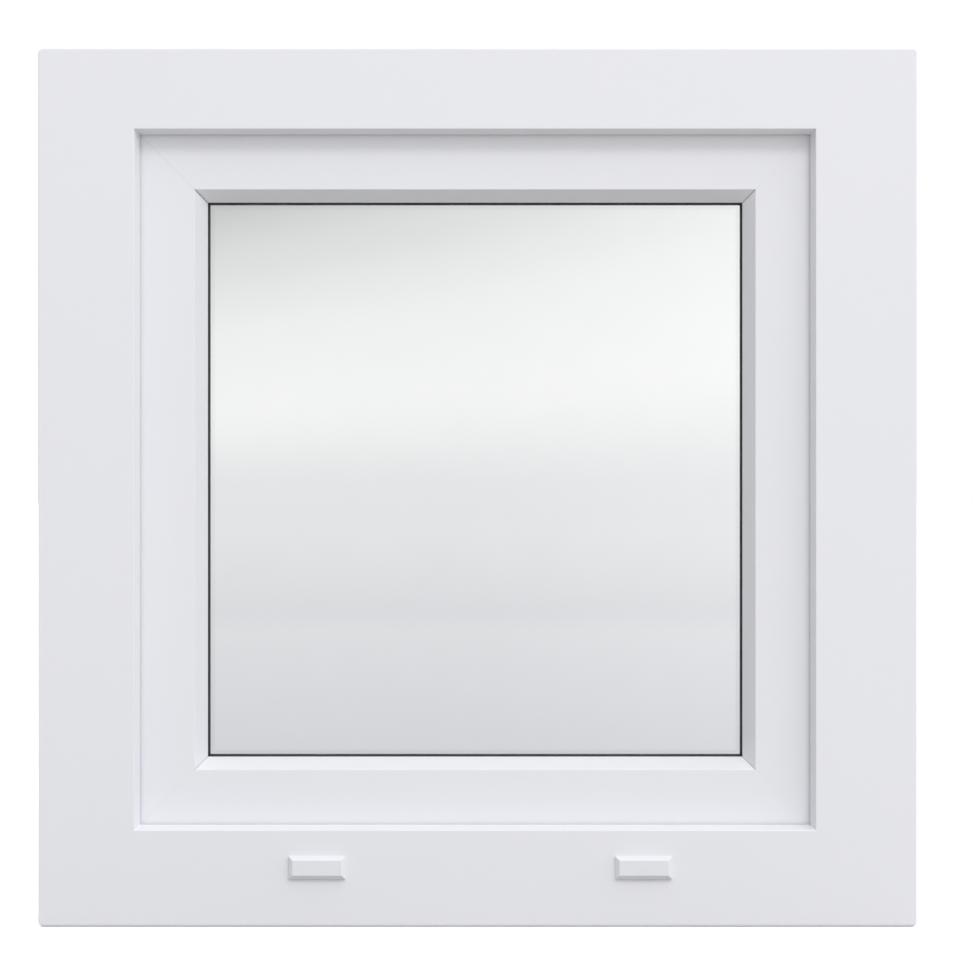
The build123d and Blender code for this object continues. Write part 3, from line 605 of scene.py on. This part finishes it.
AMBIENT_LEVEL = 0.975
AMBIENT_FROM_ABOVE = 0.20
AMBIENT_FROM_RIGHT = 0.56
AMBIENT_COLOUR = (0.99, 0.993, 1.0)
THROUGH_CLIMB, THROUGH_LEAN = 5.0, 3.4
THROUGH_TOP = (0.98, 0.98, 0.99)
THROUGH_GREYS = {0.1: 0.925, 0.19: 0.93, 0.275: 0.885, 0.343: 0.80, 0.41: 0.71, 0.52: 0.58, 0.75: 0.95}


def studio_surround(name):
    """White to the camera; otherwise a slope of light, and an uneven one seen through glass."""
    world = bpy.data.worlds.new(name)
    world.use_nodes = True
    tree = world.node_tree
    background = tree.nodes["Background"]
    direction = add_node(tree, "ShaderNodeTexCoord").outputs["Generated"]
    path = add_node(tree, "ShaderNodeLightPath")
    ambient = dotted(tree, direction, x=AMBIENT_FROM_RIGHT, z=AMBIENT_FROM_ABOVE, plus=AMBIENT_LEVEL)
    around = add_node(tree, "ShaderNodeBackground")
    around.inputs["Color"].default_value = (*AMBIENT_COLOUR, 1.0)
    tree.links.new(ambient, around.inputs["Strength"])
    # Through glass only: a painted ramp of greys, darker and lighter bands and brighter to the right,
    # that lights nothing.
    climb = add_node(tree, "ShaderNodeMath", {"operation": "MULTIPLY"})
    tree.links.new(dotted(tree, direction, z=THROUGH_CLIMB), climb.inputs[0])
    tree.links.new(dotted(tree, direction, x=-THROUGH_LEAN, plus=1.0), climb.inputs[1])
    ramp = add_node(tree, "ShaderNodeValToRGB")
    ramp.color_ramp.interpolation = "CARDINAL"
    ramp.color_ramp.elements[0].position = 0.0
    ramp.color_ramp.elements[0].color = (*THROUGH_FAR, 1.0)
    ramp.color_ramp.elements[1].position = 1.0
    ramp.color_ramp.elements[1].color = (*THROUGH_TOP, 1.0)
    for position, grey in THROUGH_GREYS.items():
        stop = ramp.color_ramp.elements.new(position)
        stop.color = (grey, grey, grey, 1.0)
    tree.links.new(climb.outputs["Value"], ramp.inputs["Fac"])
    behind = add_node(tree, "ShaderNodeBackground")
    tree.links.new(ramp.outputs["Color"], behind.inputs["Color"])
    sideways = ranged(tree, dotted(tree, direction, x=1.0), *THROUGH_RIGHT, smooth=True)
    tree.links.new(sideways, behind.inputs["Strength"])
    through = add_node(tree, "ShaderNodeMixShader")
    tree.links.new(path.outputs["Is Transmission Ray"], through.inputs["Fac"])
    tree.links.new(around.outputs["Background"], through.inputs[1])
    tree.links.new(behind.outputs["Background"], through.inputs[2])
    seen = add_node(tree, "ShaderNodeMixShader")
    tree.links.new(path.outputs["Is Camera Ray"], seen.inputs["Fac"])
    tree.links.new(through.outputs["Shader"], seen.inputs[1])
    tree.links.new(background.outputs["Background"], seen.inputs[2])
    background.inputs["Color"].default_value = (1.0, 1.0, 1.0, 1.0)
    background.inputs["Strength"].default_value = 1.0
    tree.links.new(seen.outputs["Shader"], tree.nodes["World Output"].inputs["Surface"])
    return world


scene.world = studio_surround("studio surround")

LAMP_DISTANCE = 3.8
LAMP_RISE = 43.3
LAMP_TURN = 20.0
LAMP_SIZE = 1.0
LAMP_POWER = 29.5

centre_height = (cad_low.z + cad_high.z) / 2
lamp_data = bpy.data.lights.new("soft lamp", "AREA")
lamp_data.shape = "DISK"
lamp_data.size = LAMP_SIZE
lamp_data.energy = LAMP_POWER
lamp = bpy.data.objects.new("soft lamp", lamp_data)
scene.collection.objects.link(lamp)
rise_angle = math.radians(LAMP_RISE)
turn_angle = math.radians(LAMP_TURN)
lamp.location = (
    LAMP_DISTANCE * math.cos(rise_angle) * math.sin(turn_angle),
    -LAMP_DISTANCE * math.cos(rise_angle) * math.cos(turn_angle),
    centre_height + LAMP_DISTANCE * math.sin(rise_angle),
)
lamp.rotation_euler = (math.pi / 2 - rise_angle, 0.0, turn_angle)

# Camera: straight in front of the window at half its height, far enough back that the
# sides don't show. Pixels are those of the photograph's frame of 972 by 972.
PHOTO_SIDE = 972
PHOTO_LEFT, PHOTO_RIGHT = 38.5, 916.8
PHOTO_TOP, PHOTO_BOTTOM = 48.0, 927.5
SENSOR_WIDTH = 36.0

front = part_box("frame_sill")[0].y
pixels_per_metre = (PHOTO_RIGHT - PHOTO_LEFT + PHOTO_BOTTOM - PHOTO_TOP) / 2 / (cad_high.z - cad_low.z)
camera_data = bpy.data.cameras.new("camera")
camera = bpy.data.objects.new("camera", camera_data)
scene.collection.objects.link(camera)
scene.camera = camera
camera_data.sensor_width = SENSOR_WIDTH
camera_data.lens = SENSOR_WIDTH * pixels_per_metre * VIEWING_DISTANCE / PHOTO_SIDE
camera.location = (
    (PHOTO_SIDE - PHOTO_LEFT - PHOTO_RIGHT) / 2 / pixels_per_metre,
    front - VIEWING_DISTANCE,
    centre_height + (PHOTO_TOP + PHOTO_BOTTOM - PHOTO_SIDE) / 2 / pixels_per_metre,
)
camera.rotation_euler = (math.pi / 2, 0.0, 0.0)
camera_data.clip_end = 200.0
